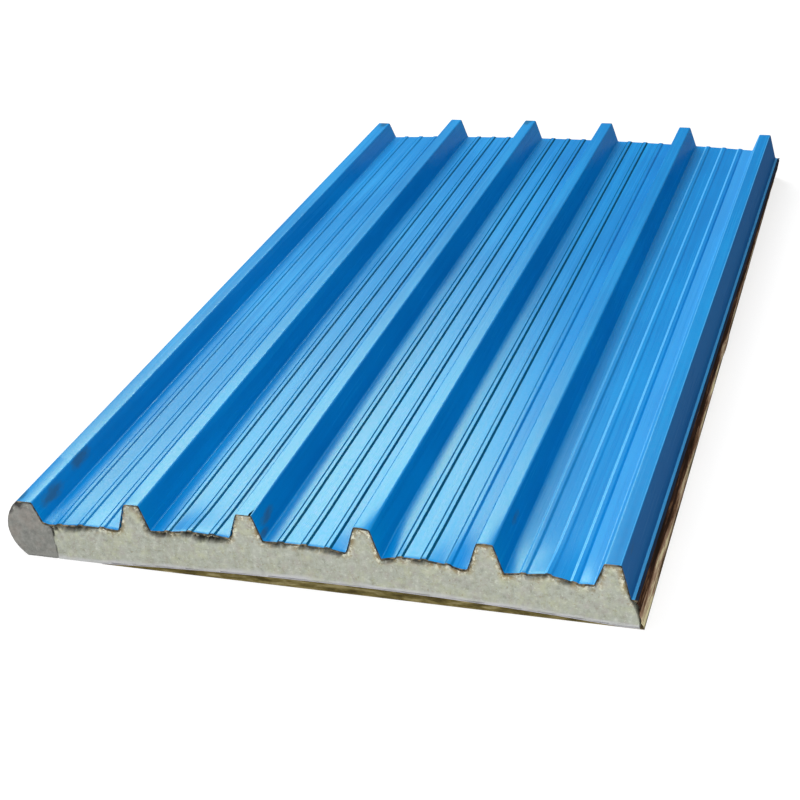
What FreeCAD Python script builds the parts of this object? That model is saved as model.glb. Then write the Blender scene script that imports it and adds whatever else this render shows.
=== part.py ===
# Insulated roof panel: a ribbed steel weather sheet bonded to a rigid foam core, with a
# bull-nosed foam strip along one edge, a thin lining sheet below and a plastic film that
# wraps the underside and the lap edge. The panel lies flat, and its length runs along Y.
#
# Sections are drawn in millimetres in the XZ plane, with x = 0 at the centre of the nose rib
# and z = 0 at the floor. At the end the whole panel is moved so that the origin is at the
# middle of the bottom of its box.

import FreeCAD, Part
import math
import os

from FreeCAD import Vector

# Panel
LENGTH = 2000.0
PAN_HEIGHT = 67.0          # floor to the flat pans of the steel, at the two outer ribs
CROWN = 13.5               # rise of the steel at mid-width: the panel is bowed upwards

# Steel weather sheet
STEEL = 0.6
BEND_RADIUS = 3.0          # inside radius of every fold
RIB_COUNT = 6
RIB_PITCH = 200.0
RIB_HEIGHT = 47.0
CREST_WIDTH = 27.0
FLANK_RUN = 16.0           # horizontal run of a rib's sloping side
NOSE_RIB_HEIGHT = 39.0
LAP_RIB_HEIGHT = 43.5
LAP_FLANK_RUN = 14.0       # horizontal run of the lap rib's outer side, down to the lip
LIP_DROP = 16.0            # lip below the pans
LIP_WIDTH = 10.5
STIFFENER_COUNT = 3        # small stiffening ridges in each pan
STIFFENER_PITCH = 40.0
STIFFENER_WIDTH = 13.0
STIFFENER_HEIGHT = 2.0
STIFFENER_RUN = 3.0        # horizontal run of a stiffener's side

# Bull-nosed edge strip
NOSE_RADIUS = 66.0
NOSE_REACH = 39.0          # nose beyond the centre of the nose rib
NOSE_CENTRE_DROP = 12.5    # centre of the nose's round below the pans
STEEL_WRAP = 18.0          # arc length of steel turned down over the nose
SEAM_TOP = 43.0            # joint between nose strip and core, from the nose rib's centre
SEAM_BOTTOM = 47.0

# Lining sheet and film
LINER = 0.6
FILM = 0.8
LINER_START = 130.0        # edge of liner and film, from the nose rib's centre
LINER_REACH = 10.0         # end of the liner's bow, beyond the lap rib's centre
LINER_RISE = 15.0          # rise of the liner's bow off the film
FILM_REACH_FRONT = 48.0    # film's outer corner beyond the lap rib's centre
FILM_REACH_BACK = 28.0
FOLD_WIDTH = 7.0           # film's corner beyond the foam's corner
SIDE_HOLLOW = 3.0          # how far the foam's side is dished

# Derived
COVER_WIDTH = RIB_PITCH * (RIB_COUNT - 1)
NOSE_RIB_TOP = PAN_HEIGHT + NOSE_RIB_HEIGHT
LIP_TOP = PAN_HEIGHT - LIP_DROP
LIP_ROOT = COVER_WIDTH + CREST_WIDTH / 2 + LAP_FLANK_RUN
NOSE_CENTRE = NOSE_RADIUS - NOSE_REACH
NOSE_CENTRE_HEIGHT = PAN_HEIGHT - NOSE_CENTRE_DROP
LINER_TOP = FILM + LINER


def point(x, z, y=0.0):
    return Vector(x, y, z)


def lift(x):
    """Rise of the bowed steel above its outer ribs."""
    across = (2 * x - COVER_WIDTH) / COVER_WIDTH
    return CROWN * max(0.0, 1 - across * across)


def arc_through(start, middle, end):
    return Part.Arc(start, middle, end).toShape()


# ---- folded steel profile -------------------------------------------------------------------

def rib_corners(centre, height, half_crest=CREST_WIDTH / 2):
    """Foot, crest, crest and foot of one rib; the crest stays level on the bow."""
    half_foot = half_crest + FLANK_RUN
    top = PAN_HEIGHT + height + lift(centre)
    return [
        point(centre - half_foot, PAN_HEIGHT + lift(centre - half_foot)),
        point(centre - half_crest, top),
        point(centre + half_crest, top),
        point(centre + half_foot, PAN_HEIGHT + lift(centre + half_foot)),
    ]


def stiffener_corners(centre):
    """The four corners of one small ridge in a pan."""
    foot = STIFFENER_WIDTH / 2
    top = foot - STIFFENER_RUN
    rises = [(-foot, 0), (-top, STIFFENER_HEIGHT), (top, STIFFENER_HEIGHT), (foot, 0)]
    return [point(centre + x, PAN_HEIGHT + rise + lift(centre + x)) for x, rise in rises]


def pan_corners(rib):
    """All stiffener corners of the pan that follows a rib."""
    middle = rib * RIB_PITCH + RIB_PITCH / 2
    first = middle - STIFFENER_PITCH * (STIFFENER_COUNT - 1) / 2
    corners = []
    for number in range(STIFFENER_COUNT):
        corners += stiffener_corners(first + number * STIFFENER_PITCH)
    return corners


def nose_point(height, radius=NOSE_RADIUS):
    """Point of the nose's round, or of one inside it, at a height."""
    rise = height - NOSE_CENTRE_HEIGHT
    return point(NOSE_CENTRE - math.sqrt(radius**2 - rise**2), height)


def steel_corners():
    """Corners of the steel's upper face, from the top of the nose to the tip of the lip."""
    corners = [nose_point(NOSE_RIB_TOP)]
    corners += rib_corners(0, NOSE_RIB_HEIGHT)[2:]
    for rib in range(1, RIB_COUNT):
        corners += pan_corners(rib - 1)
        height = LAP_RIB_HEIGHT if rib == RIB_COUNT - 1 else RIB_HEIGHT
        corners += rib_corners(rib * RIB_PITCH, height)
    corners[-1] = point(LIP_ROOT, LIP_TOP)
    corners.append(point(LIP_ROOT + LIP_WIDTH, LIP_TOP))
    return corners


def normal(start, end):
    """Unit vector square to a side, pointing up from a line drawn left to right."""
    side = (end - start).normalize()
    return point(-side.z, side.x)


def offset_corners(corners, distance):
    """The same folded line, moved down square to each side and mitred at each corner."""
    sides = [normal(a, b) for a, b in zip(corners, corners[1:])]
    moved = []
    for corner, before, after in zip(corners, [sides[0]] + sides, sides + [sides[-1]]):
        mitre = (before + after) * (1 / (1 + before.dot(after)))
        moved.append(corner - mitre * distance)
    return moved


def folded_edges(corners, upper):
    """Straight runs joined by bend arcs. upper says which face of the steel the line is."""
    edges = []
    start = corners[0]
    for before, corner, after in zip(corners, corners[1:], corners[2:]):
        towards = (corner - before).normalize()
        away = (after - corner).normalize()
        turn = towards.getAngle(away)
        turns_down = towards.x * away.z - towards.z * away.x < 0
        radius = BEND_RADIUS + (STEEL if turns_down == upper else 0)
        if turn < math.radians(3):
            edges.append(Part.makeLine(start, corner))
            start = corner
            continue
        run = radius * math.tan(turn / 2)
        inside = (away - towards).normalize()
        bend_start = corner - towards * run
        bend_end = corner + away * run
        bend_middle = corner + inside * radius * (1 / math.cos(turn / 2) - 1)
        edges.append(Part.makeLine(start, bend_start))
        edges.append(arc_through(bend_start, bend_middle, bend_end))
        start = bend_end
    edges.append(Part.makeLine(start, corners[-1]))
    return edges


# ---- solids ---------------------------------------------------------------------------------

def closed_wire(edges):
    return Part.Wire(Part.__sortEdges__(edges))


def run_length(edges):
    """A section carried unchanged along the panel."""
    return Part.Face(closed_wire(edges)).extrude(Vector(0, LENGTH, 0))


def run_tapered(section):
    """A section whose lap corner draws in from the front end to the back end.

    The loft makes spline faces, so each one that is flat is made again as a true plane.
    """
    front = closed_wire(section(FILM_REACH_FRONT))
    back = closed_wire(section(FILM_REACH_BACK))
    back.translate(Vector(0, LENGTH, 0))
    skin = Part.makeLoft([front, back], True, True).Faces
    planes = [face.findPlane() for face in skin]
    true_faces = [Part.Face(plane, face.OuterWire) if plane else face
                  for plane, face in zip(planes, skin)]
    shell = Part.makeCompound(true_faces)
    shell.sewShape()
    return Part.makeSolid(shell)


def nose_arc(low, high, radius=NOSE_RADIUS):
    """Part of the nose's round between two heights."""
    middle = (low + high) / 2
    ends = nose_point(low, radius), nose_point(high, radius)
    return arc_through(ends[0], nose_point(middle, radius), ends[1])


def wrap_end(radius):
    """Height of the steel's turned-down edge on a round of this radius."""
    top = math.asin((NOSE_RIB_TOP - NOSE_CENTRE_HEIGHT) / NOSE_RADIUS)
    return NOSE_CENTRE_HEIGHT + radius * math.sin(top - STEEL_WRAP / NOSE_RADIUS)


def inner_corners():
    """Corners of the steel's lower face."""
    corners = offset_corners(steel_corners(), STEEL)
    corners[0] = nose_point(corners[1].z, NOSE_RADIUS - STEEL)
    return corners


def split_at_seam(corners):
    """The corners over the nose strip and those over the core, with the joint in both."""
    before = [corner for corner in corners if corner.x < SEAM_TOP]
    after = corners[len(before):]
    share = (SEAM_TOP - before[-1].x) / (after[0].x - before[-1].x)
    seam = before[-1] + (after[0] - before[-1]) * share
    return before + [seam], [seam] + after


def top_sheet():
    """Folded steel: turned down over the nose, six ribs, and a lip at the lap edge."""
    outer = steel_corners()
    inner = inner_corners()
    inner_radius = NOSE_RADIUS - STEEL
    outer_end = wrap_end(NOSE_RADIUS)
    inner_end = wrap_end(inner_radius)
    edges = folded_edges(outer, True) + folded_edges(inner, False)
    edges.append(nose_arc(outer_end, NOSE_RIB_TOP))
    edges.append(nose_arc(inner_end, inner[0].z, inner_radius))
    edges.append(Part.makeLine(nose_point(outer_end), nose_point(inner_end, inner_radius)))
    edges.append(Part.makeLine(outer[-1], inner[-1]))
    return run_length(edges)


def edge_nose():
    """Foam strip that rounds off the panel's edge under the nose rib."""
    inner, _ = split_at_seam(inner_corners())
    inner_radius = NOSE_RADIUS - STEEL
    outer_end = wrap_end(NOSE_RADIUS)
    inner_end = wrap_end(inner_radius)
    seam_foot = point(SEAM_BOTTOM, 0)
    edges = folded_edges(inner, False)
    edges.append(nose_arc(inner_end, inner[0].z, inner_radius))
    edges.append(Part.makeLine(nose_point(outer_end), nose_point(inner_end, inner_radius)))
    edges.append(nose_arc(0, outer_end))
    edges.append(Part.makeLine(nose_point(0), seam_foot))
    edges.append(Part.makeLine(seam_foot, inner[-1]))
    return run_length(edges)


def liner_bow(height):
    """The bowed line of the lining sheet, at a height above the floor at its ends."""
    start = point(LINER_START, height)
    end = point(COVER_WIDTH + LINER_REACH, height)
    return arc_through(start, (start + end) / 2 + point(0, LINER_RISE), end)


def foam_section(film_reach):
    """Core between the steel and the lining sheet, dished at its lap side."""
    _, inner = split_at_seam(inner_corners()[:-1])
    lip_root = inner[-1]
    corner = point(COVER_WIDTH + film_reach - FOLD_WIDTH, LINER_TOP)
    bow_end = point(COVER_WIDTH + LINER_REACH, LINER_TOP)
    bulge = normal(corner, lip_root) * -SIDE_HOLLOW
    edges = folded_edges(inner, False)
    edges.append(arc_through(lip_root, (lip_root + corner) / 2 + bulge, corner))
    edges.append(Part.makeLine(corner, bow_end))
    edges.append(liner_bow(LINER_TOP))
    edges.append(Part.makeLine(point(LINER_START, LINER_TOP), point(LINER_START, 0)))
    edges.append(Part.makeLine(point(LINER_START, 0), point(SEAM_BOTTOM, 0)))
    edges.append(Part.makeLine(point(SEAM_BOTTOM, 0), inner[0]))
    return edges


def liner_section(film_reach):
    """Thin lining sheet under the core."""
    edge = COVER_WIDTH + film_reach - FOLD_WIDTH
    bow_end = COVER_WIDTH + LINER_REACH
    return [
        liner_bow(LINER_TOP),
        Part.makeLine(point(bow_end, LINER_TOP), point(edge, LINER_TOP)),
        Part.makeLine(point(edge, LINER_TOP), point(edge, FILM)),
        Part.makeLine(point(edge, FILM), point(bow_end, FILM)),
        liner_bow(FILM),
        Part.makeLine(point(LINER_START, FILM), point(LINER_START, LINER_TOP)),
    ]


def film_section(film_reach):
    """Film: flat on the floor, folded up at the lap corner to the underside of the lip."""
    corner = point(COVER_WIDTH + film_reach, 0)
    top = point(LIP_ROOT + LIP_WIDTH, LIP_TOP - STEEL)
    inset = point(FILM, 0)
    rise = (top - corner) * (FILM / (top.z - corner.z))
    corners = [
        point(LINER_START, 0), corner, top,
        top - inset, corner + rise - inset, point(LINER_START, FILM),
    ]
    return [Part.makeLine(a, b) for a, b in zip(corners, corners[1:] + corners[:1])]


SOLIDS = {
    "top_sheet": top_sheet(),
    "foam_core": run_tapered(foam_section),
    "edge_nose": edge_nose(),
    "bottom_liner": run_tapered(liner_section),
    "wrap_film": run_tapered(film_section),
}

os.makedirs("parts", exist_ok=True)
middle_of_width = (COVER_WIDTH + FILM_REACH_FRONT - NOSE_REACH) / 2
for name, solid in SOLIDS.items():
    solid.translate(Vector(-middle_of_width, -LENGTH / 2, 0))
    solid.exportStep("parts/" + name + ".step")
    box = solid.BoundBox
    print(name, solid.isValid(), len(solid.Solids), round(solid.Volume / 1000), "cm3",
          [round(v, 2) for v in (box.XMin, box.XMax, box.YMin, box.YMax, box.ZMin, box.ZMax)])
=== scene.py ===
# %% [markdown]
# # An insulated roof panel
#
# The real panel is a sandwich: a ribbed steel sheet glued to a slab of rigid foam, with a bull-nosed
# foam strip along one edge, a thin lining sheet below and a brown plastic film round the underside
# and the lap edge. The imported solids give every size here. This lesson dresses each of them: it
# copies a solid, cuts it finely where the real thing is bent, torn or wrinkled, and moves the
# points there. Everything is in metres, with the length of the panel along Y.

# %% Load the frame
import bisect
import math

import bmesh
import bpy
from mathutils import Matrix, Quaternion, Vector, kdtree, noise


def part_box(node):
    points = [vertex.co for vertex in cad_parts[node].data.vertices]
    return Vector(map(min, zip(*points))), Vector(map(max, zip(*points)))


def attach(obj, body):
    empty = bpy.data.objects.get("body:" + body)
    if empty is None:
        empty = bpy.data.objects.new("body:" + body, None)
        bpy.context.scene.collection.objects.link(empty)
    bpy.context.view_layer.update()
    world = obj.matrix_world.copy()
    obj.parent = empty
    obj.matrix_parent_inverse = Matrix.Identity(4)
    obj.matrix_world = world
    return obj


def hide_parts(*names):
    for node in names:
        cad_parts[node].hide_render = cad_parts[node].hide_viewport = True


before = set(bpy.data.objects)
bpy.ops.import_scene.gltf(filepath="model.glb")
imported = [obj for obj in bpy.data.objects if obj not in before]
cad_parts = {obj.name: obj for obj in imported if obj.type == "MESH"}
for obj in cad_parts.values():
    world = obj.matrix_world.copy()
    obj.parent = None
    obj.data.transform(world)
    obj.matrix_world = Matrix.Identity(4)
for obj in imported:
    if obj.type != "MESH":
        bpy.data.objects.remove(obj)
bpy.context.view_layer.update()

print("nodes:", sorted(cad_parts))

# %% [markdown]
# ## Places on the panel
#
# All places are worked out from the boxes of the solids, so that nothing has to be fitted by hand.
# `AHEAD` is the cut end that faces the viewer and `BEHIND` the other one. The ribs stand one pitch
# apart across the panel. Places across are given in millimetres from the middle of the nose rib.

# %% Places from the frame
MM = 0.001
RIB_PITCH = 200 * MM
RIB_COUNT = 6
FILM_CORNER = 48 * MM
FILM_THICKNESS = 0.8 * MM

sheet_low, sheet_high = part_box("top_sheet")
core_low, core_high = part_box("foam_core")
nose_low, nose_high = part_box("edge_nose")
liner_low, liner_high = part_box("bottom_liner")
film_low, film_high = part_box("wrap_film")
AHEAD, BEHIND = sheet_low.y, sheet_high.y
LAST_RIB = film_high.x - FILM_CORNER
FIRST_RIB = LAST_RIB - (RIB_COUNT - 1) * RIB_PITCH


def across(x):
    """Place across the panel in millimetres from the middle of the nose rib."""
    return (x - FIRST_RIB) / MM


print("length", round(BEHIND - AHEAD, 3), "lap edge at", round(across(film_high.x)), "mm across")

# %% [markdown]
# ## Colours and nodes
#
# Colours are written as the sRGB hex values a paint chart would give, and one function turns them
# to the linear values that Blender computes with. One more function adds a shader node: it fills
# the inputs, with another node's output, a colour or a plain value, and gives back an output, so a
# material reads from top to bottom like a recipe. Patterns take their scale from the size of a
# feature in millimetres.

# %% Colour and node helpers
UNDER, OVER, MIXED = 6, 7, 2  # colour inputs and colour output of a Mix node


def linear(code):
    """sRGB hex colour as linear RGBA."""
    channels = [int(code[i:i + 2], 16) / 255 for i in (1, 3, 5)]
    curved = [c / 12.92 if c <= 0.04045 else ((c + 0.055) / 1.055) ** 2.4 for c in channels]
    return (*curved, 1.0)


def node(tree, kind, inputs=None, out=0, stops=(), **settings):
    """Adds one node with its settings, inputs and colour stops, and gives back one output."""
    made = tree.nodes.new("ShaderNode" + kind)
    for key, value in settings.items():
        setattr(made, key, value)
    for key, value in (inputs or {}).items():
        if isinstance(value, bpy.types.NodeSocket):
            tree.links.new(value, made.inputs[key])
        else:
            made.inputs[key].default_value = linear(value) if isinstance(value, str) else value
    for index, (position, colour) in enumerate(stops):
        elements = made.color_ramp.elements
        element = elements[index] if index < len(elements) else elements.new(position)
        element.position = position
        element.color = linear(colour)
    return made.outputs[out] if made.outputs else None


def waves(*sizes):
    """Pattern scale for features of these sizes in millimetres, across, along and up."""
    scales = [1 / (size * MM) for size in sizes]
    return scales[0] if len(scales) == 1 else scales


def start_material(name):
    """New empty material, as (material, its tree, place on the panel)."""
    material = bpy.data.materials.new(name)
    material.use_nodes = True
    material.node_tree.nodes.clear()
    place = node(material.node_tree, "TexCoord", out="Object")
    return material, material.node_tree, place


print("middle grey is", round(linear("#808080")[0], 3), "and a 10 mm feature is", waves(10), "waves")

# %% [markdown]
# ## Cutting a solid finely
#
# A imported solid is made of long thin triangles, which can't bend. Remeshing would blur the sharp
# folds of the steel, so the faces are only divided. `open_solid` joins the triangles that lie in one
# plane, and `cut_faces` then cuts chosen faces on evenly spaced planes. Each cut only works on what
# the last one left, so hundreds of cuts take seconds.

# %% Mesh helpers
FLAT = 0.001 * MM  # points this close to a plane lie in it
CUT_SLACK = 0.0001 * MM


def open_solid(node_name):
    """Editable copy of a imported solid, with its flat faces whole."""
    mesh = bmesh.new()
    mesh.from_mesh(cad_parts[node_name].data)
    bmesh.ops.remove_doubles(mesh, verts=mesh.verts, dist=FLAT)
    bmesh.ops.dissolve_limit(mesh, angle_limit=math.radians(0.02), verts=mesh.verts, edges=mesh.edges)
    print(node_name, "opened with", len(mesh.faces), "flat faces")
    return mesh


def steps(start, end, step):
    """Evenly spaced values strictly between two ends."""
    count = max(1, round((end - start) / step))
    return [start + (end - start) * i / count for i in range(1, count)]


def cut_faces(mesh, faces, axis, cuts):
    """Cuts some faces on rising planes square to an axis, and gives back all the pieces."""
    normal = Vector([float(axis == i) for i in range(3)])
    done = []
    for cut in sorted(cuts):
        edges = {edge for face in faces for edge in face.edges}
        verts = {vert for face in faces for vert in face.verts}
        geometry = list(verts) + list(edges) + faces
        result = bmesh.ops.bisect_plane(mesh, geom=geometry, dist=CUT_SLACK,
                                        plane_co=normal * cut, plane_no=normal)
        found = [part for part in result["geom"] if isinstance(part, bmesh.types.BMFace)]
        reach = cut + CUT_SLACK
        done += [face for face in found if max(v.co[axis] for v in face.verts) <= reach]
        faces = [face for face in found if max(v.co[axis] for v in face.verts) > reach]
    return done + faces


def slice_solid(mesh, axis, cuts, inside=None):
    """Cuts the faces whose middle is inside, or all of them."""
    faces = [face for face in mesh.faces if inside is None or inside(face.calc_center_median())]
    return cut_faces(mesh, faces, axis, cuts)


def end_faces(mesh, y):
    """Faces of the flat end at y."""
    return [face for face in mesh.faces if all(abs(v.co.y - y) < FLAT for v in face.verts)]


print("a cut every 30 mm or so in 100 mm:", [round(cut / MM) for cut in steps(0, 100 * MM, 30 * MM)])

# %% [markdown]
# ## Finishing a piece
#
# Every piece ends in the same way: the edited copy becomes an object that rides on the panel's body
# and stands for its solid. Faces that meet at a small angle are shaded as one smooth surface, and
# sharper folds stay crisp, as in a rolled sheet.

# %% Finishing a piece
def close_solid(mesh, name, materials, replaced, smooth_angle):
    """Turns the edited copy into a piece of the panel, which stands for its solid."""
    data = bpy.data.meshes.new(name)
    mesh.to_mesh(data)
    mesh.free()
    piece = bpy.data.objects.new(name, data)
    bpy.context.scene.collection.objects.link(piece)
    for material in materials:
        data.materials.append(material)
    data.shade_smooth()
    data.set_sharp_from_angle(angle=math.radians(smooth_angle))
    weighted = piece.modifiers.new("weighted", "WEIGHTED_NORMAL")
    weighted.keep_sharp = True
    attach(piece, "root")
    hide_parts(replaced)
    print(name, len(data.vertices), "points", len(data.polygons), "faces")


print("solids to dress:", len(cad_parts))

# %% [markdown]
# Damage and wear start and stop softly. Three small functions give such soft curves: a smooth step,
# a value that fades with distance, and a value read from a short list along smooth curves.

# %% Soft curves
def ease(share):
    """Smooth step from 0 to 1."""
    share = min(1.0, max(0.0, share))
    return share * share * (3 - 2 * share)


def fade(distance, reach):
    """1 at no distance, falling smoothly to 0 at the reach."""
    return 1 - ease(distance / reach)


def between(table, x, curve=ease):
    """Value at x in a list of (place, value), along smooth or other curves."""
    places = [row[0] for row in table]
    right = min(max(bisect.bisect(places, x), 1), len(table) - 1)
    (x0, v0), (x1, v1) = table[right - 1], table[right]
    return v0 + (v1 - v0) * curve((x - x0) / max(1e-9, x1 - x0))


print("half way is eased to", ease(0.5), "and a quarter to", ease(0.25))

# %% [markdown]
# ## The buckled front edge
#
# The panel was cut by hand. The saw has buckled the thin steel between the ribs: in some pans the
# edge rises a few millimetres, in others it is pressed down. The buckle dies away within a hand's
# breadth of the cut. Bent by hand each wave would be a guess on its own, so one short list of rises
# across the width is used, and the steel and the foam below it both follow it. Both are also cut
# into the same columns near the end, so that neither comes through the other.

# %% Buckle of the cut edge
BUCKLE = [  # place across and rise of the edge, in millimetres
    (30, 0), (42, -3), (75, -1.5), (108, -0.6), (145, -2), (168, -4), (184, -1), (200, 0), (230, 0),
    (258, 1.5), (298, 5.5), (346, 3.4), (369, 0.8), (400, 0.5), (427, 1.5), (463, 2.3), (502, 2.3),
    (541, 1.3), (568, -2.5), (585, 0), (600, 0), (627, -6.5), (648, -1), (670, 2.3), (704, 2.3),
    (734, 0), (764, -5.5), (785, -1), (800, 0), (825, -2), (861, 2.7), (896, 8), (916, 5.3),
    (946, -0.6), (966, 1.7), (985, 0), (1045, 0),
]
BUCKLE_LENGTH = 60 * MM
BUCKLE_FALL = 1.6
BUCKLE_END = AHEAD + 160 * MM
BUCKLE_CUTS = steps(AHEAD, BUCKLE_END, 10 * MM) + [BUCKLE_END]
BUCKLE_COLUMNS = steps(FIRST_RIB, LAST_RIB, 8 * MM)
BUCKLE_BASE = 35 * MM


def buckle(point):
    """Rise of the steel and of the foam's top at a place, in metres."""
    distance = (point.y - AHEAD) / BUCKLE_LENGTH
    return between(BUCKLE, across(point.x)) * MM * math.exp(-distance ** BUCKLE_FALL)


def can_buckle(centre):
    """Whether a face is in the upper part of the panel, behind the cut and not far from it."""
    return AHEAD + MM < centre.y < BUCKLE_END and centre.z > BUCKLE_BASE


print("largest rise", max(rise for place, rise in BUCKLE), "mm on", len(BUCKLE_CUTS), "cuts")

# %% [markdown]
# ## Blue coil-coated steel
#
# The top is galvanised steel with a polyester paint baked on in the coil, before it is rolled to
# shape. To the eye it is a saturated blue with a satin gloss. The paint carries a little mica
# flake, so it has two layers here: a soft blue body, and a thin share of tinted mirror that turns
# pale cyan where it faces a light. The ribs and ridges pull those reflections into long streaks.
# The sheet slides lengthwise when it is made and stacked, so rubs and handling marks are drawn out
# along it. The short slopes of the ridges are darkened with painted shade, most of all in the middle
# pans, where the flat paint mirrors the lamp and the slopes don't.

# %% Handling marks
SMUDGE_STRETCH = 0.3
STEEL_SMUDGES = [  # place across, distance from the cut end, height and reach, in millimetres
    (24, 60, 92, 22), (20, 175, 98, 20), (34, 120, 78, 12), (426, 45, 105, 17), (430, 12, 90, 12),
    (826, 120, 104, 14), (1010, 70, 96, 12), (-12, 20, 108, 10), (0, 1995, 108, 18),
    (396, 1995, 126, 20),
]


def smudge_and_shadow_mask(tree, place, smudges_and_shadows):
    """Patchy marks round a few places on the panel, drawn out along it, from 0 to 1."""
    spread = node(tree, "Mapping", {"Vector": place, "Scale": waves(12, 28, 12)})
    patchy = node(tree, "TexNoise", {"Vector": spread, "Scale": 1.0, "Detail": 6.0, "Roughness": 0.7})
    drawn = node(tree, "Mapping", {"Vector": place, "Scale": (1, SMUDGE_STRETCH, 1)})
    total = 0.0
    for x, distance, height, size in smudges_and_shadows:
        middle = (FIRST_RIB + x * MM, (AHEAD + distance * MM) * SMUDGE_STRETCH, height * MM)
        away = node(tree, "VectorMath", {0: drawn, 1: middle}, "Value", operation="DISTANCE")
        near = node(tree, "MapRange", {"Value": away, "From Min": size * MM, "From Max": 0.0})
        total = node(tree, "Math", {0: total, 1: near}, operation="MAXIMUM")
    marked = node(tree, "Math", {0: total, 1: patchy}, operation="MULTIPLY")
    return node(tree, "MapRange", {"Value": marked, "From Min": 0.16, "From Max": 0.36})


print(len(STEEL_SMUDGES), "marks on the steel")

# %% [markdown]
# The paint's patterns are all long ones. Coating streaks are about 9 mm wide and run most of the
# sheet, and slow clouds of a hand's breadth vary the blue. The orange peel of the baked paint is
# about 1 mm on the real sheet, which is too fine to show, so it is drawn at 3 mm. Stains, painted
# shade and painted highlights are shares that the mesh carries face by face, and each one is a
# colour laid over the blue. All but the painted highlight also dull the flake.

# %% Stains on the paint
# Painted shade on the ridge slopes and the lap flank, the film's glue, and a painted highlight.
STEEL_STAINS_AND_PAINTED_LIGHT = {"ridge_shade": "#06455c", "lap_flank_shade": "#27548f", "glue": "#25180f", "painted_highlight": "#5cbcf4"}


def stained_and_painted(tree, body, marks):
    """The blue body under its stains, painted shade, painted highlight and marks, and how much of the
    flake all but the highlight cover.
    """
    covered = marks
    for name, tint in STEEL_STAINS_AND_PAINTED_LIGHT.items():
        stain_and_light = node(tree, "Attribute", out="Fac", attribute_name=name)
        body = node(tree, "Mix", {0: stain_and_light, UNDER: body, OVER: tint}, MIXED, data_type="RGBA")
        if name != "painted_highlight":
            covered = node(tree, "Math", {0: covered, 1: stain_and_light}, operation="MAXIMUM")
    faint = node(tree, "MapRange", {"Value": marks, "To Max": 0.5})
    body = node(tree, "Mix", {0: faint, UNDER: body, OVER: "#42544a"}, MIXED, data_type="RGBA")
    return body, covered


print("stains:", ", ".join(STEEL_STAINS_AND_PAINTED_LIGHT))

# %% [markdown]
# The finish itself goes from the inside out: the blue with its streaks and clouds, the stains with
# the painted shade and highlight, the tint and gloss of the flake, and the orange peel that both
# layers share.

# %% Steel paint
FLAKE_SHARE = 0.034


def coil_coated_steel():
    material, tree, place = start_material("polyester_coil_coated_steel")
    drawn = node(tree, "Mapping", {"Vector": place, "Scale": waves(9, 650, 16)})
    streaks = node(tree, "TexNoise", {"Vector": drawn, "Scale": 1.0, "Detail": 5.0, "Roughness": 0.6})
    slow = node(tree, "Mapping", {"Vector": place, "Scale": waves(160, 400, 160)})
    clouds = node(tree, "TexNoise", {"Vector": slow, "Scale": 1.0, "Detail": 4.0})
    mottle = node(tree, "Mix", {0: 0.5, 2: streaks, 3: clouds})
    blues = [(0.35, "#0077c0"), (0.5, "#0081ca"), (0.65, "#008cd4")]
    body = node(tree, "ValToRGB", {"Fac": mottle}, stops=blues)
    body, covered = stained_and_painted(tree, body, smudge_and_shadow_mask(tree, place, STEEL_SMUDGES))
    dust = node(tree, "TexNoise", {"Vector": place, "Scale": waves(6), "Detail": 4.0})
    shine = [(0.3, "#bcf0b4"), (0.5, "#d2ffc2"), (0.7, "#e6ffd4")]
    flake = node(tree, "ValToRGB", {"Fac": dust}, stops=shine)
    # Under painted shade, glue and marks the flake turns dark too.
    flake = node(tree, "Mix", {0: covered, UNDER: flake, OVER: "#123a42"}, MIXED, data_type="RGBA")
    gloss = node(tree, "MapRange", {"Value": mottle, "From Min": 0.3, "From Max": 0.7,
                                    "To Min": 0.23, "To Max": 0.31})
    peel = node(tree, "TexNoise", {"Vector": place, "Scale": waves(3), "Detail": 2.0})
    orange_peel = node(tree, "Bump", {"Height": peel, "Strength": 0.12, "Distance": 0.5 * MM})
    soft = node(tree, "BsdfPrincipled", {"Base Color": body, "Roughness": 0.4,
                                         "Specular IOR Level": 0.0, "Normal": orange_peel})
    mirror = node(tree, "BsdfPrincipled", {"Base Color": flake, "Roughness": gloss,
                                           "Metallic": 1.0, "Normal": orange_peel})
    paint = node(tree, "MixShader", {0: FLAKE_SHARE, 1: soft, 2: mirror})
    node(tree, "OutputMaterial", {"Surface": paint})
    print(material.name, len(tree.nodes), "nodes")
    return material


steel_paint = coil_coated_steel()

# %% [markdown]
# The cut edge is bare galvanised steel, sheared by the saw. This dark grey-brown finish covers it and
# the last 2.5 mm of the painted top at each end as a painted shadow line, so it reads as a thin
# broken dark line.

# %% Cut edge of the steel
def sawn_steel():
    material, tree, place = start_material("sawn_steel_edge_and_painted_shadow")
    scorch = node(tree, "TexNoise", {"Vector": place, "Scale": waves(9), "Detail": 4.0})
    browns = [(0.36, "#20241f"), (0.5, "#3b3a30"), (0.62, "#7a6c52")]
    colour = node(tree, "ValToRGB", {"Fac": scorch}, stops=browns)
    metal = node(tree, "BsdfPrincipled", {"Base Color": colour, "Metallic": 0.5, "Roughness": 0.7})
    node(tree, "OutputMaterial", {"Surface": metal})
    print(material.name, len(tree.nodes), "nodes")
    return material


steel_edge = sawn_steel()

# %% [markdown]
# The last two millimetres of the steel are turned down a little by the saw, more in the pans than
# on the ribs. That burr, with a dark finish that is bare steel and painted shadow, is what makes a
# sheet so thin show as a dark line from a distance. The faces of the steel are marked one by one.
# Painted shade is on the slopes of the ridges, more on the one that faces the lap edge. Near that
# edge the slopes that face away from it also get a painted highlight, as do the last strip of the
# pan, the inner flank of the lap rib and the lip; the outer flank of the lap rib gets painted shade,
# and the rim of the lip is brown with the glue of the film.

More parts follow.
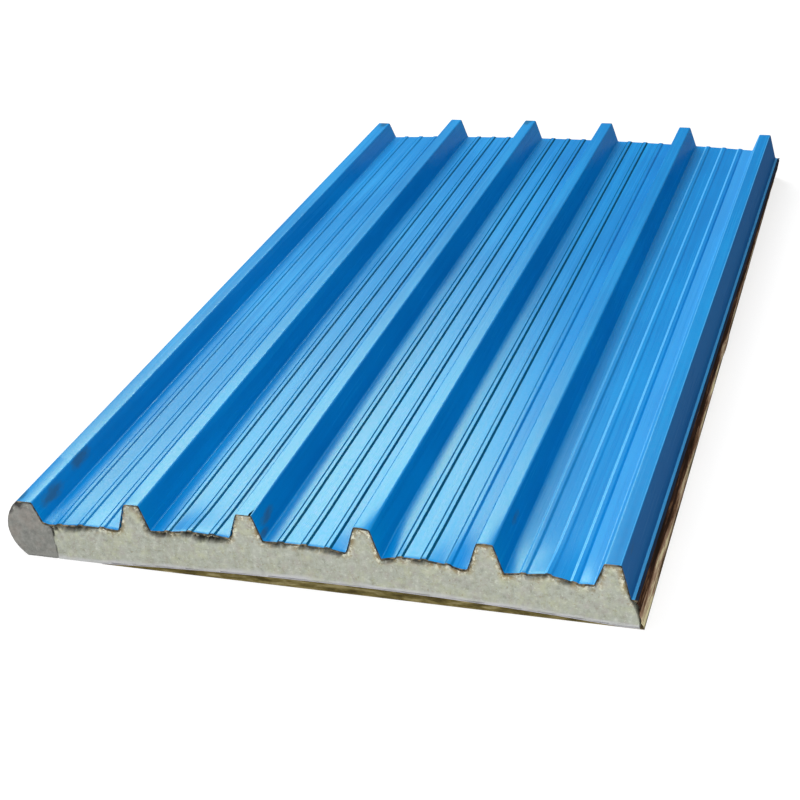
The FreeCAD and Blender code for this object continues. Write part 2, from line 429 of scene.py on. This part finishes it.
# %% Grime and burr of the steel
BURR_LENGTH = 2.5 * MM
BURR_DROP = 1.6 * MM
RIB_FOOT, RIB_BLEND = 86, 20  # height above which a point is on a rib, in millimetres
RIDGE_PLACES = (60, 100, 140)
RIDGE_HALF = 7.5
# Places across, in millimetres, where the painted highlight on the ridge slopes starts and is full.
HIGHLIGHT_FROM, HIGHLIGHT_FULL = 730, 850
LAST_STRIP, STRIP_END = 950, 970
LAP_RIB = 1010
LIP_RIM = across(sheet_high.x) - 5
# Share of painted shade on the ridge slopes across the panel, strongest in the middle pans.
RIDGE_SHADE_BY_PLACE = [  # place across and share of grime on the ridges there
    (0, 0.3), (180, 0.35), (260, 0.75), (440, 0.9), (720, 0.9), (745, 0.25), (800, 0.5),
    (850, 0.3), (885, 0.0), (1000, 0.0),
]


def on_rib(point):
    """1 on top of a rib, 0 in a pan."""
    return ease((point.z / MM - RIB_FOOT) / RIB_BLEND)


def stains_and_painted_light(face):
    """Shares of painted shade, glue and painted highlight on a face of the steel."""
    place = across(face.calc_center_median().x)
    in_pan = place % (RIB_PITCH / MM)
    on_ridge = min(abs(in_pan - ridge) for ridge in RIDGE_PLACES) < RIDGE_HALF
    slope = face.normal.x if face.normal.z > 0.3 else 0.0
    found = {}
    if place > LIP_RIM:
        found["glue"] = 0.9
    # Outer flank of the lap rib: painted shade, a dull navy over the blue.
    elif place > LAP_RIB and face.normal.x > 0.6:
        found["lap_flank_shade"] = 0.75
    # The lip: painted highlight.
    elif place > LAP_RIB and face.normal.z > 0.9:
        found["painted_highlight"] = 0.5
    # Ridge slopes: painted shade, and near the lap edge a painted highlight on the slopes facing away
    # from it.
    elif on_ridge and abs(slope) > 0.12:
        found["ridge_shade"] = between(RIDGE_SHADE_BY_PLACE, place) * (1.0 if slope > 0 else 0.7)
        painted_highlight = ease((place - HIGHLIGHT_FROM) / (HIGHLIGHT_FULL - HIGHLIGHT_FROM))
        found["painted_highlight"] = 0.7 * painted_highlight if slope < 0 else 0.0
    # Inner flank of the lap rib and last strip of the pan: painted highlight.
    elif LAST_STRIP < place < LAP_RIB and face.normal.x < -0.2:
        found["painted_highlight"] = 0.5
    elif LAST_STRIP < place < STRIP_END:
        found["painted_highlight"] = 0.3
    return found


def burr(point):
    """How far the saw has turned the edge down at a point, in metres."""
    from_end = min(point.y - AHEAD, BEHIND - point.y)
    ragged = 0.85 + 0.6 * noise.noise(Vector((point.x * 45, 0, 0)))
    return BURR_DROP * (1 - 0.55 * on_rib(point)) * ragged * fade(from_end, BURR_LENGTH)


print("grime in the middle pan", round(between(RIDGE_SHADE_BY_PLACE, 500), 2))

# %% [markdown]
# Now the sheet itself. Its faces are marked while they are still whole strips from end to end, then
# cut, and their points are moved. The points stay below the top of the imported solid.

# %% Steel sheet
steel = open_solid("top_sheet")
for name in STEEL_STAINS_AND_PAINTED_LIGHT:
    steel.faces.layers.float.new(name)
stain_and_light_layers = {name: steel.faces.layers.float[name] for name in STEEL_STAINS_AND_PAINTED_LIGHT}
slice_solid(steel, 0, [FIRST_RIB + LIP_RIM * MM])
steel.normal_update()
for face in steel.faces:
    for name, share in stains_and_painted_light(face).items():
        face[stain_and_light_layers[name]] = share
slice_solid(steel, 1, [AHEAD + BURR_LENGTH, BEHIND - BURR_LENGTH] + BUCKLE_CUTS)
slice_solid(steel, 0, BUCKLE_COLUMNS, can_buckle)
for face in steel.faces:
    middle = face.calc_center_median().y
    # The last 2.5 mm at each end take the dark edge finish: bare cut steel and a painted shadow line.
    face.material_index = int(min(middle - AHEAD, BEHIND - middle) < BURR_LENGTH)
for point in steel.verts:
    point.co.z += buckle(point.co) - burr(point.co)
    point.co.z = min(point.co.z, sheet_high.z)
close_solid(steel, "steel_sheet", [steel_paint, steel_edge], "top_sheet", 32)

# %% [markdown]
# ## Sawn rigid foam
#
# Under the steel is polyurethane foam, poured between the sheets and set hard. Where it is cut it
# is matt, pale greenish grey and finely pitted. It is warmer and full of pale crumbs near the
# steel, where the saw tore it, and it set as a denser, paler skin next to the lining. Each of these
# is one cloud of colour laid over the last, so the finish is a short list and a loop. The cells of
# the foam are under a millimetre wide, too fine to show, so the pits are drawn at 2.5 mm.

# %% Foam finish
def sawn_foam(name, stops, layers, skin_colour, smudges_and_shadows):
    """Layers are the grain in mm, where a cloud starts and is full, its strength, colour and mask."""
    material, tree, place = start_material(name)
    mottle = node(tree, "TexNoise", {"Vector": place, "Scale": waves(11), "Detail": 7.0,
                                     "Roughness": 0.7})
    colour = node(tree, "ValToRGB", {"Fac": mottle}, stops=stops)
    for index, (grain, start, full, strength, tint, mask) in enumerate(layers):
        drawn = node(tree, "Mapping", {"Vector": place, "Location": (index * 7.3, 0, 0),
                                       "Scale": waves(*grain)})
        cloud = node(tree, "TexNoise", {"Vector": drawn, "Scale": 1.0, "Detail": 5.0,
                                        "Roughness": 0.7})
        share = node(tree, "MapRange", {"Value": cloud, "From Min": start, "From Max": full,
                                        "To Max": strength})
        if mask:
            held = node(tree, "Attribute", out="Fac", attribute_name=mask)
            share = node(tree, "Math", {0: share, 1: held}, operation="MULTIPLY")
        colour = node(tree, "Mix", {0: share, UNDER: colour, OVER: tint}, MIXED, data_type="RGBA")
    # On the nose strip most of these marks are painted shadow under the steel's wrap.
    marks = node(tree, "MapRange", {"Value": smudge_and_shadow_mask(tree, place, smudges_and_shadows), "To Max": 0.85})
    # The third layer is painted shade: the deeper the foam is pushed in, the darker.
    covers = [(node(tree, "Attribute", out="Fac", attribute_name="skin"), skin_colour),
              (marks, "#24211e"),
              (node(tree, "Attribute", out="Fac", attribute_name="recess_shade"), "#1a180f")]
    for share, tint in covers:
        colour = node(tree, "Mix", {0: share, UNDER: colour, OVER: tint}, MIXED, data_type="RGBA")
    pits = node(tree, "TexVoronoi", {"Vector": place, "Scale": waves(2.5)})
    pitted = node(tree, "Bump", {"Height": pits, "Strength": 0.5, "Distance": 1.2 * MM})
    foam = node(tree, "BsdfPrincipled", {"Base Color": colour, "Roughness": 0.92, "Normal": pitted})
    node(tree, "OutputMaterial", {"Surface": foam})
    print(material.name, len(tree.nodes), "nodes")
    return material


# %% [markdown]
# The core and the nose strip share that recipe with colours of their own. The core is pale and
# greenish, with pale crumbs and yellowed patches near the steel. The denser nose strip is greyer and
# more even; the dark marks at its top are mostly painted shadow under the steel's wrap.

# %% Foam colours
CORE_STOPS = [(0.3, "#888b80"), (0.45, "#a3a79b"), (0.58, "#aeb2a7"), (0.72, "#c6cac0")]
CORE_LAYERS = [
    ((13, 50, 100), 0.48, 0.68, 0.40, "#99997f", None),
    ((26, 26, 26), 0.50, 0.66, 0.55, "#b9bd9c", None),
    ((20, 20, 20), 0.50, 0.66, 0.60, "#a49e99", None),
    ((6, 6, 6), 0.58, 0.70, 0.60, "#85755a", None),
    ((5, 5, 5), 0.56, 0.68, 0.60, "#cfd3c6", None),
    ((12, 12, 12), 0.42, 0.55, 0.95, "#8c7646", "edge"),
    ((8, 8, 8), 0.52, 0.59, 1.00, "#e6e6d2", "edge"),
]
NOSE_STOPS = [(0.3, "#6a6a67"), (0.5, "#81827d"), (0.7, "#969690")]
NOSE_LAYERS = [
    ((30, 30, 30), 0.50, 0.70, 0.45, "#8f847c", None),
    ((7, 7, 7), 0.62, 0.72, 0.50, "#6a5f58", None),
    ((10, 10, 10), 0.55, 0.64, 0.60, "#c9c8b8", "edge"),
]
CORE_SMUDGES = [(52, 0, 60, 9)]
# Nose marks: those at its top and upper left, under the steel's wrap, are painted shadow.
NOSE_SHADOWS_AND_MARKS = [(-14, 0, 103, 20), (-32, 0, 88, 15), (44, 0, 62, 10), (4, 0, 108, 7)]
core_finish = sawn_foam("sawn_polyurethane_foam", CORE_STOPS, CORE_LAYERS, "#c4c4c8", CORE_SMUDGES)
nose_finish = sawn_foam("dense_moulded_foam", NOSE_STOPS, NOSE_LAYERS, "#8d8d88", NOSE_SHADOWS_AND_MARKS)

# %% [markdown]
# The colour layers follow values that the mesh carries at each point of a cut end: how near the
# steel it is, how near the lining, and how deep it is hollowed, which sets a painted shade in the
# deep hollows. So the outline of the end is read first: the line where the steel meets it, as a
# search tree, and its lower line, as a list.

# %% Lines of the cut ends
STEEL_LOWEST = 45 * MM  # no steel meets a cut end below this height
FOAM_LAYERS = ("edge", "skin", "recess_shade")


def rim_edges(mesh, y):
    """Edges round the flat end at y, each with the slope of the face behind it."""
    found = []
    for edge in mesh.edges:
        if any(abs(v.co.y - y) > FLAT for v in edge.verts):
            continue
        behind = [face.normal.z for face in edge.link_faces if abs(face.normal.y) < 0.5]
        if behind:
            found.append((edge.verts[0].co.copy(), edge.verts[1].co.copy(), behind[0]))
    return found


def steel_line(rim):
    """Search tree of points a millimetre apart on the line where the steel meets the cut end."""
    points = []
    for start, end, slope in rim:
        if slope > 0.15 and min(start.z, end.z) > STEEL_LOWEST and max(start.x, end.x) > sheet_low.x:
            count = max(1, round((end - start).length / MM))
            points += [start.lerp(end, i / count) for i in range(count + 1)]
    tree = kdtree.KDTree(len(points))
    for index, point in enumerate(points):
        tree.insert((point.x, 0, point.z), index)
    tree.balance()
    print("steel line of", len(points), "points")
    return tree


def floor_line(rim):
    """Lower outline of the cut end, as (x, z) from one side to the other."""
    ends = {(round(p.x, 6), p.z) for start, end, slope in rim if slope < -0.9 for p in (start, end)}
    return sorted(ends)


# %% [markdown]
# The relief of a cut end has four parts: a fine grain, slow lumps from the blade, a narrow gap
# right under the steel where the bond has broken, and a few places where the foam is torn out. The
# gap and the glued seam beside the nose strip open and close along their length.

# %% Relief of a cut end
TEARS = [  # place across, half width, distance below the steel, half height and depth, in millimetres
    (82, 44, 5, 7.5, 18), (240, 36, 5, 6.5, 16), (292, 14, 5, 8, 24), (318, 19, 10, 5.5, 26),
    (345, 23, 8, 5.5, 24), (455, 24, 4, 7, 15), (505, 22, 4, 6, 14), (545, 24, 4.5, 7, 15),
    (640, 14, 4, 5.5, 12), (690, 30, 4, 5, 12), (880, 26, 4, 5, 12), (925, 16, 4.5, 6, 12),
]
SAWN_DEPTH, LEAST_DEPTH = 1.2, 0.3
BOND_GAP, BOND_DEPTH = 3.0, 7.0
CRUMB_REACH, CRUMB_DEPTH = 12, 5
SEAM_WIDTH, SEAM_DEPTH = 2.2, 6.0


def seam_distance(point):
    """Distance across from the glued joint between nose strip and core, in millimetres."""
    joint = (core_low.x + nose_high.x) / 2
    lean = 2 * (point.z / core_high.z - 0.5)
    return (point.x - joint) / MM + lean


def relief(point, below, torn):
    """How far a cut end is pushed in at a point, in millimetres."""
    place = Vector((point.x, point.y * 0.01, point.z))
    depth = SAWN_DEPTH + 0.4 * noise.noise(place * 330) + 0.6 * noise.noise(place * 40)
    ragged = 0.95 + 1.0 * noise.noise(place * 55) + 0.9 * noise.noise(place * 190)
    held = 0.5 * on_rib(point)
    gap = fade(below, BOND_GAP * max(0.3, ragged - held))
    crumbs = max(0.0, noise.noise(place * 150) + 0.05) * fade(below, CRUMB_REACH)
    depth += torn * (BOND_DEPTH * (1 - held) * gap + CRUMB_DEPTH * crumbs)
    open_seam = max(0.15, min(1.0, 0.5 + 1.6 * noise.noise(Vector((0, 3, point.z * 45)))))
    depth += SEAM_DEPTH * open_seam * fade(abs(seam_distance(point)), SEAM_WIDTH)
    return max(LEAST_DEPTH, depth)


def tear(point, below):
    """Extra depth where the foam is torn out under the front edge, in millimetres."""
    total = 0.0
    for middle, half, centre, height, depth in TEARS:
        ragged = 1 + 0.8 * noise.noise(point * 170)
        away = math.hypot((across(point.x) - middle) / half, (below - centre) / height)
        total = max(total, depth * fade(away / ragged, 1.15))
    return total


print(len(TEARS), "torn places, the deepest", max(row[4] for row in TEARS), "mm")

# %% [markdown]
# Sculpting each tear by hand would be slow and hard to repeat. So a cut end is divided into a grid
# of 2.5 mm, fine enough for its torn places, and every point of it is pushed in by the relief. The
# rest of the block stays coarse. Each point also notes what the colours need.

# %% Carving the foam
GRID = 2.5 * MM
EDGE_REACH = 15  # millimetres below the steel that are warmer and full of crumbs
SKIN_START, SKIN_HEIGHT = 3, 7
# Depth where the painted shade in a hollow starts, and how much deeper it is full.
RECESS_SHADE_START, RECESS_SHADE_RISE = 4, 7  # depth in millimetres where a hollow gets dark


def carve_end(mesh, y, inward, low, high, torn, with_tears):
    """Grids one cut end, pushes its points in and notes how near each is to the edges."""
    rim = rim_edges(mesh, y)
    above = steel_line(rim)
    under = floor_line(rim)
    columns = cut_faces(mesh, end_faces(mesh, y), 0, steps(low.x, high.x, GRID))
    cut_faces(mesh, columns, 2, steps(0, high.z, GRID))
    edge, skin, recess_shade = (mesh.verts.layers.float[name] for name in FOAM_LAYERS)
    for point in [v for v in mesh.verts if abs(v.co.y - y) < FLAT]:
        below = above.find((point.co.x, 0, point.co.z))[2] / MM
        depth = relief(point.co, below, torn)
        if with_tears:
            depth += tear(point.co, below)
        height = (point.co.z - between(under, point.co.x, float)) / MM
        point[edge] = fade(below, EDGE_REACH)
        patchy = 0.6 + 0.5 * noise.noise(point.co * 35)
        thickness = max(2, SKIN_HEIGHT + 9 * noise.noise(point.co * 18))
        point[skin] = patchy * fade(height - SKIN_START, thickness)
        # Painted shade by depth, in the torn places and the broken bond under the steel.
        point[recess_shade] = min(0.95, max(0.0, (depth - RECESS_SHADE_START) / RECESS_SHADE_RISE))
        point.co.y += inward * depth * MM


print("cut ends carved on a grid of", GRID / MM, "mm")

# %% [markdown]
# The core and the nose strip are prepared in the same way. Their upper half follows the buckled
# steel, a hair lower, where the bond has let go. The core is torn at the front end only, where the
# steel has pulled it.

# %% Foam core
FOAM_SINK = 0.4 * MM
STILL_HEIGHT, LOOSE_RISE = 20, 35  # height where the foam starts to follow the steel, in millimetres


def prepare_foam(node_name, low, high, torn, tears):
    """Foam piece with both ends carved and its top following the buckled steel."""
    mesh = open_solid(node_name)
    for name in FOAM_LAYERS:
        mesh.verts.layers.float.new(name)
    slice_solid(mesh, 1, BUCKLE_CUTS)
    slice_solid(mesh, 0, BUCKLE_COLUMNS, can_buckle)
    carve_end(mesh, AHEAD, 1, low, high, torn, tears)
    carve_end(mesh, BEHIND, -1, low, high, torn, False)
    for point in mesh.verts:
        share = min(1.0, max(0.0, (point.co.z / MM - STILL_HEIGHT) / LOOSE_RISE))
        sunk = FOAM_SINK * fade(point.co.y - AHEAD, BUCKLE_LENGTH)
        moved = buckle(point.co) - burr(point.co) - sunk
        point.co.z = min(point.co.z + moved * share, high.z)
    return mesh


core = prepare_foam("foam_core", core_low, core_high, 1.0, True)
close_solid(core, "core_foam", [core_finish], "foam_core", 50)

# %% [markdown]
# ## The bull-nosed edge strip
#
# The rounded edge is a separate strip of denser, greyer foam, glued on. Its cut face is smoother
# than the core's. Along its length it keeps the brown skin of the mould that it was cast in, dull
# and cloudy in patches as long as a hand, with a leathery grain of about 5 mm.

# %% Nose strip
def nose_skin():
    material, tree, place = start_material("brown_moulded_foam_skin")
    drawn = node(tree, "Mapping", {"Vector": place, "Scale": waves(25, 170, 25)})
    cloud = node(tree, "TexNoise", {"Vector": drawn, "Scale": 1.0, "Detail": 5.0})
    browns = [(0.35, "#3c2f2a"), (0.5, "#5a4840"), (0.68, "#7d716a")]
    colour = node(tree, "ValToRGB", {"Fac": cloud}, stops=browns)
    grain = node(tree, "TexNoise", {"Vector": place, "Scale": waves(5), "Detail": 3.0})
    leathery = node(tree, "Bump", {"Height": grain, "Strength": 0.3, "Distance": 1 * MM})
    skin = node(tree, "BsdfPrincipled", {"Base Color": colour, "Roughness": 0.75,
                                         "Normal": leathery})
    node(tree, "OutputMaterial", {"Surface": skin})
    print(material.name, len(tree.nodes), "nodes")
    return material


strip = prepare_foam("edge_nose", nose_low, nose_high, 0.35, False)
for face in strip.faces:
    face.material_index = int(abs(face.normal.y) < 0.2)
close_solid(strip, "nose_strip", [nose_finish, nose_skin()], "edge_nose", 40)

# %% [markdown]
# ## Lining sheet
#
# The underside has a thin coil-coated sheet, off-white and satin. Only its edge shows, as a pale
# line under the foam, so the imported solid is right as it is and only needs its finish. The coating
# varies in faint bands a few centimetres wide.

# %% Lining sheet finish
def lining_coat():
    material, tree, place = start_material("off_white_coil_coated_steel")
    drawn = node(tree, "Mapping", {"Vector": place, "Scale": waves(33, 330, 33)})
    cloud = node(tree, "TexNoise", {"Vector": drawn, "Scale": 1.0, "Detail": 4.0})
    whites = [(0.3, "#b2b1b6"), (0.7, "#cdccd2")]
    colour = node(tree, "ValToRGB", {"Fac": cloud}, stops=whites)
    coat = node(tree, "BsdfPrincipled", {"Base Color": colour, "Roughness": 0.45})
    node(tree, "OutputMaterial", {"Surface": coat})
    print(material.name, len(tree.nodes), "nodes")
    return material


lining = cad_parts["bottom_liner"]
lining_finish = lining_coat()
for slot in lining.material_slots:
    slot.material = lining_finish
print("lining has", len(lining.material_slots), "finish")

# %% [markdown]
# ## Brown film
#
# A brown polythene film wraps the underside and comes up the lap edge to the lip. It is thin, loose
# and slightly glossy. Up the side it is nearly black near the lip and lighter lower down. Its
# lengthwise wrinkles are about a finger wide, and its streaks are lightened towards the front into a
# painted cream highlight. Its hem along the floor is dark. At the cut end it has gathered into a soft
# olive fold that fills the gap under the arched panel. A plain gloss would veil the dark brown where
# it is seen at a flat angle, so the gloss is a very thin share of mirror, as on the paint.

# %% Film finish
CREAM_END = AHEAD + 200 * MM
FILM_GLOSS = 0.012
DARK_ABOVE = film_high.z - 10 * MM
PALE_BELOW = 10 * MM
HEM_TOP, HEM_FULL = 7 * MM, 2 * MM


def film_colour(tree, place):
    """Brown that pales down the side, with a painted highlight towards the front, a dark hem and an
    olive fold.
    """
    drawn = node(tree, "Mapping", {"Vector": place, "Scale": waves(9, 120, 9)})
    streak = node(tree, "TexNoise", {"Vector": drawn, "Scale": 1.0, "Detail": 5.0, "Roughness": 0.7})
    axes = node(tree, "SeparateXYZ", {"Vector": place}).node.outputs
    low = node(tree, "MapRange", {"Value": axes["Z"], "From Min": DARK_ABOVE,
                                  "From Max": PALE_BELOW, "To Max": 0.27},
               interpolation_type="SMOOTHSTEP")
    # Painted highlight: the brown is lightened towards the front end.
    front = node(tree, "MapRange", {"Value": axes["Y"], "From Min": CREAM_END, "From Max": AHEAD,
                                    "To Max": 0.11})
    lighter = node(tree, "Math", {0: low, 1: front}, operation="ADD")
    shade = node(tree, "Math", {0: streak, 1: lighter}, operation="ADD")
    browns = [(0.45, "#1c1009"), (0.58, "#3a2218"), (0.68, "#74573f"), (0.78, "#b0927a"),
              (0.88, "#e8deb2")]
    colour = node(tree, "ValToRGB", {"Fac": shade}, stops=browns)
    hem = node(tree, "MapRange", {"Value": axes["Z"], "From Min": HEM_TOP, "From Max": HEM_FULL,
                                  "To Max": 0.8})
    colour = node(tree, "Mix", {0: hem, UNDER: colour, OVER: "#3a3016"}, MIXED, data_type="RGBA")
    flat = node(tree, "Mapping", {"Vector": place, "Scale": waves(33, 33, 6)})
    bands = node(tree, "TexNoise", {"Vector": flat, "Scale": 1.0, "Detail": 4.0, "Roughness": 0.6})
    olives = [(0.35, "#443c20"), (0.5, "#695f38"), (0.65, "#90865f")]
    olive = node(tree, "ValToRGB", {"Fac": bands}, stops=olives)
    fold = node(tree, "Attribute", out="Fac", attribute_name="fold")
    return node(tree, "Mix", {0: fold, UNDER: colour, OVER: olive}, MIXED, data_type="RGBA")


def brown_film():
    material, tree, place = start_material("brown_polythene_film")
    colour = film_colour(tree, place)
    creases = node(tree, "Mapping", {"Vector": place, "Scale": waves(7, 40, 7)})
    crinkle = node(tree, "TexNoise", {"Vector": creases, "Scale": 1.0, "Detail": 4.0})
    crinkled = node(tree, "Bump", {"Height": crinkle, "Strength": 0.5, "Distance": 2 * MM})
    soft = node(tree, "BsdfPrincipled", {"Base Color": colour, "Roughness": 0.5,
                                         "Specular IOR Level": 0.0, "Normal": crinkled})
    mirror = node(tree, "BsdfPrincipled", {"Base Color": "#c8b8a0", "Roughness": 0.35,
                                           "Metallic": 1.0, "Normal": crinkled})
    plastic = node(tree, "MixShader", {0: FILM_GLOSS, 1: soft, 2: mirror})
    node(tree, "OutputMaterial", {"Surface": plastic})
    print(material.name, len(tree.nodes), "nodes")
    return material


film_finish = brown_film()

# %% [markdown]
# The panel is bowed, so its underside arches off the floor film. The gap between them is a shallow
# arc, widest in the middle, and the fold has to fill it.

# %% Gap under the arch
GAP_ENDS = (liner_low.x + 1 * MM, LAST_RIB + 10 * MM)
GAP_RISE = liner_high.z - FILM_THICKNESS - 0.6 * MM
FOLD_DEPTH = 70 * MM


def gap_height(x):
    """Height of the gap between floor film and lining at a place across, in metres."""
    start, end = GAP_ENDS
    share = (2 * x - start - end) / (end - start)
    return GAP_RISE * max(0.0, 1 - share * share)


print("gap rises to", round(GAP_RISE / MM, 1), "mm")

# %% [markdown]
# The film needs three moves: its top skin rises into the gap near the front, the face of that fold
# is pushed back unevenly, and the side is rippled by a few millimetres, only where nothing holds it.
# A cloth simulation would also do, but the film is glued at both edges, and these moves keep it
# inside the panel's box. Two functions say where the fold and the side are.

# %% Places on the film
SIDE_START = LAST_RIB + 14 * MM
FLOOR_END = LAST_RIB + 8 * MM
RIPPLED_FROM = SIDE_START + 8 * MM
FOLD_LIP = 12 * MM
FOLD_TOP = 16 * MM
HELD = 3 * MM


def film_side(centre):
    """Whether a face is on the lap side."""
    return centre.x > SIDE_START


def film_fold(centre):
    """Whether a face is in the gathered front fold."""
    return centre.y < AHEAD + FOLD_DEPTH and centre.x < LAST_RIB


print("side starts at", round(across(SIDE_START)), "mm across")

# %% [markdown]
# The cuts follow the same places: 6 to 7 mm in the fold, and 9 by 3.5 mm along the side, enough for
# wrinkles about a finger wide.

# %% Film piece
film = open_solid("wrap_film")
fold_layer = film.verts.layers.float.new("fold")
slice_solid(film, 1, steps(AHEAD, AHEAD + FOLD_DEPTH, 7 * MM) + [AHEAD + FOLD_DEPTH])
slice_solid(film, 0, steps(film_low.x, LAST_RIB, 6 * MM), film_fold)
slice_solid(film, 1, steps(AHEAD + FOLD_DEPTH, BEHIND, 9 * MM), film_side)
slice_solid(film, 2, steps(0, film_high.z, 3.5 * MM), film_side)
for point in film.verts:
    spot = point.co
    if spot.x < FLOOR_END and spot.z > FILM_THICKNESS / 2:
        away = fade(spot.y - AHEAD - FOLD_LIP, FOLD_DEPTH - FOLD_LIP)
        slack = 0.86 + 0.12 * noise.noise(Vector((spot.x * 28, 0, 0)))
        spot.z += gap_height(spot.x) * slack * away
face_of_fold = [f for f in end_faces(film, AHEAD) if film_fold(f.calc_center_median())]
cut_faces(film, face_of_fold, 2, steps(0, FOLD_TOP, 2.5 * MM))
for point in film.verts:
    spot = point.co
    point[fold_layer] = float(abs(spot.y - AHEAD) < FOLD_LIP and spot.x < LAST_RIB)
    ripple = Vector((spot.x * 22, spot.y * 7, spot.z * 110))
    if abs(spot.y - AHEAD) < FLAT and spot.x < LAST_RIB and spot.z > HELD / 2:
        spot.y += max(0.3, 2 + 3.5 * noise.noise(ripple) + 0.2 * spot.z / MM) * MM
    elif spot.x > RIPPLED_FROM and HELD < spot.z < film_high.z - HELD:
        spot.x += (3.2 * noise.noise(ripple) + 1.6 * noise.noise(ripple * 2.7)) * MM
        spot.x = min(spot.x, film_high.x - 0.5 * MM)
close_solid(film, "film_wrap", [film_finish], "wrap_film", 45)

# %% [markdown]
# ## Stage, light and camera
#
# The floor is plain and pale. A soft light stands behind and to the left of the panel, where the
# painted pans mirror it towards the viewer, and that gives them their sheen. A wide light above and
# a lower one in front light the rest. The floor and the world are white to the camera and in
# reflections, and the floor keeps a soft shadow.

# %% Background test
def seen_directly(tree):
    """1 for rays that show the background: from the camera, in a gloss or through something."""
    rays = node(tree, "LightPath").node.outputs
    seen = node(tree, "Math", {0: rays["Is Camera Ray"], 1: rays["Is Glossy Ray"]},
                operation="MAXIMUM")
    return node(tree, "Math", {0: seen, 1: rays["Is Transmission Ray"]}, operation="MAXIMUM")


print("the background is told apart by 3 kinds of ray")

# %% [markdown]
# The floor is matt white paper. Looked at, it is made up of a soft share of shadow and a glow, so
# that it stays white in soft light. What it throws back onto the panel is plain white paper.

# %% Floor
def pale_floor():
    material, tree, _ = start_material("white_studio_paper")
    plain = node(tree, "BsdfDiffuse", {"Color": "#e7e7e7"})
    soft = node(tree, "BsdfDiffuse", {"Color": "#959595"})
    glow = node(tree, "Emission", {"Strength": 0.76})
    lit = node(tree, "AddShader", {0: soft, 1: glow})
    paper = node(tree, "MixShader", {0: seen_directly(tree), 1: plain, 2: lit})
    node(tree, "OutputMaterial", {"Surface": paper})
    return material


def make_floor(size):
    data = bpy.data.meshes.new("floor")
    corners = [(-size, -size, 0), (size, -size, 0), (size, size, 0), (-size, size, 0)]
    data.from_pydata(corners, [], [(0, 1, 2, 3)])
    floor = bpy.data.objects.new("floor", data)
    bpy.context.scene.collection.objects.link(floor)
    data.materials.append(pale_floor())
    print("floor", 2 * size, "m across")


make_floor(14.0)

# %% [markdown]
# The world is plain white to look at. As a light it is dimmer, because the lamps do the rest.

# %% World
def make_world(level):
    """White to look at, and lighting the panel at a plain level."""
    world = bpy.data.worlds.new("studio")
    bpy.context.scene.world = world
    world.use_nodes = True
    tree = world.node_tree
    tree.nodes.clear()
    strength = node(tree, "MapRange", {"Value": seen_directly(tree), "To Min": level})
    backdrop = node(tree, "Background", {"Color": "#ffffff", "Strength": strength})
    node(tree, "OutputWorld", {"Surface": backdrop})
    print("world lights at", level)


make_world(0.31)

# %% [markdown]
# The lamps are rectangular softboxes, set by direction and distance. Direction is in degrees: turn
# from the far end towards the lap edge, then height. Brightness is what a mirror would show of the
# lamp, and the power in watts follows from it and from the lamp's area.

# %% Lamps
def softbox(name, direction, distance, size, brightness):
    """Rectangular lamp that faces the panel; brightness is what a mirror would show."""
    data = bpy.data.lights.new(name, "AREA")
    data.shape = "RECTANGLE"
    data.size, data.size_y = size
    data.energy = brightness * math.pi * size[0] * size[1]
    lamp = bpy.data.objects.new(name, data)
    bpy.context.scene.collection.objects.link(lamp)
    azimuth, elevation = (math.radians(a) for a in direction)
    flat = math.cos(elevation)
    towards = Vector((math.sin(azimuth) * flat, math.cos(azimuth) * flat, math.sin(elevation)))
    lamp.location = towards * distance
    lamp.rotation_euler = (-towards).to_track_quat("-Z", "Y").to_euler()
    print(name, round(data.energy), "W")


softbox("sheen_light", (-30.5, 35.6), 6.33, (3.4, 1.32), 22.5)
softbox("top_light", (205, 62), 3.2, (2.4, 1.6), 2.8)
softbox("front_light", (165, 25), 5.0, (3.0, 2.0), 5.4)

# %% [markdown]
# The camera stands at eye height, well to the right of the front end and with a slight roll. It
# looks along the ribs, so that their streaks run together at the far end.

# %% Camera
EYE = Vector((0.9124, -3.1158, 1.5189))
AIM = Vector((-0.0158, -0.4466, 0.060))
ROLL = math.radians(-4.19)

view = bpy.data.cameras.new("view")
view.lens = 76.05
view.sensor_width = 36.0
camera = bpy.data.objects.new("view", view)
bpy.context.scene.collection.objects.link(camera)
camera.location = EYE
turn = (AIM - EYE).to_track_quat("-Z", "Y") @ Quaternion((0, 0, 1), ROLL)
camera.rotation_euler = turn.to_euler()
bpy.context.scene.camera = camera
bpy.context.scene.view_settings.view_transform = "Standard"
print("camera stands", round((AIM - EYE).length, 2), "m away")
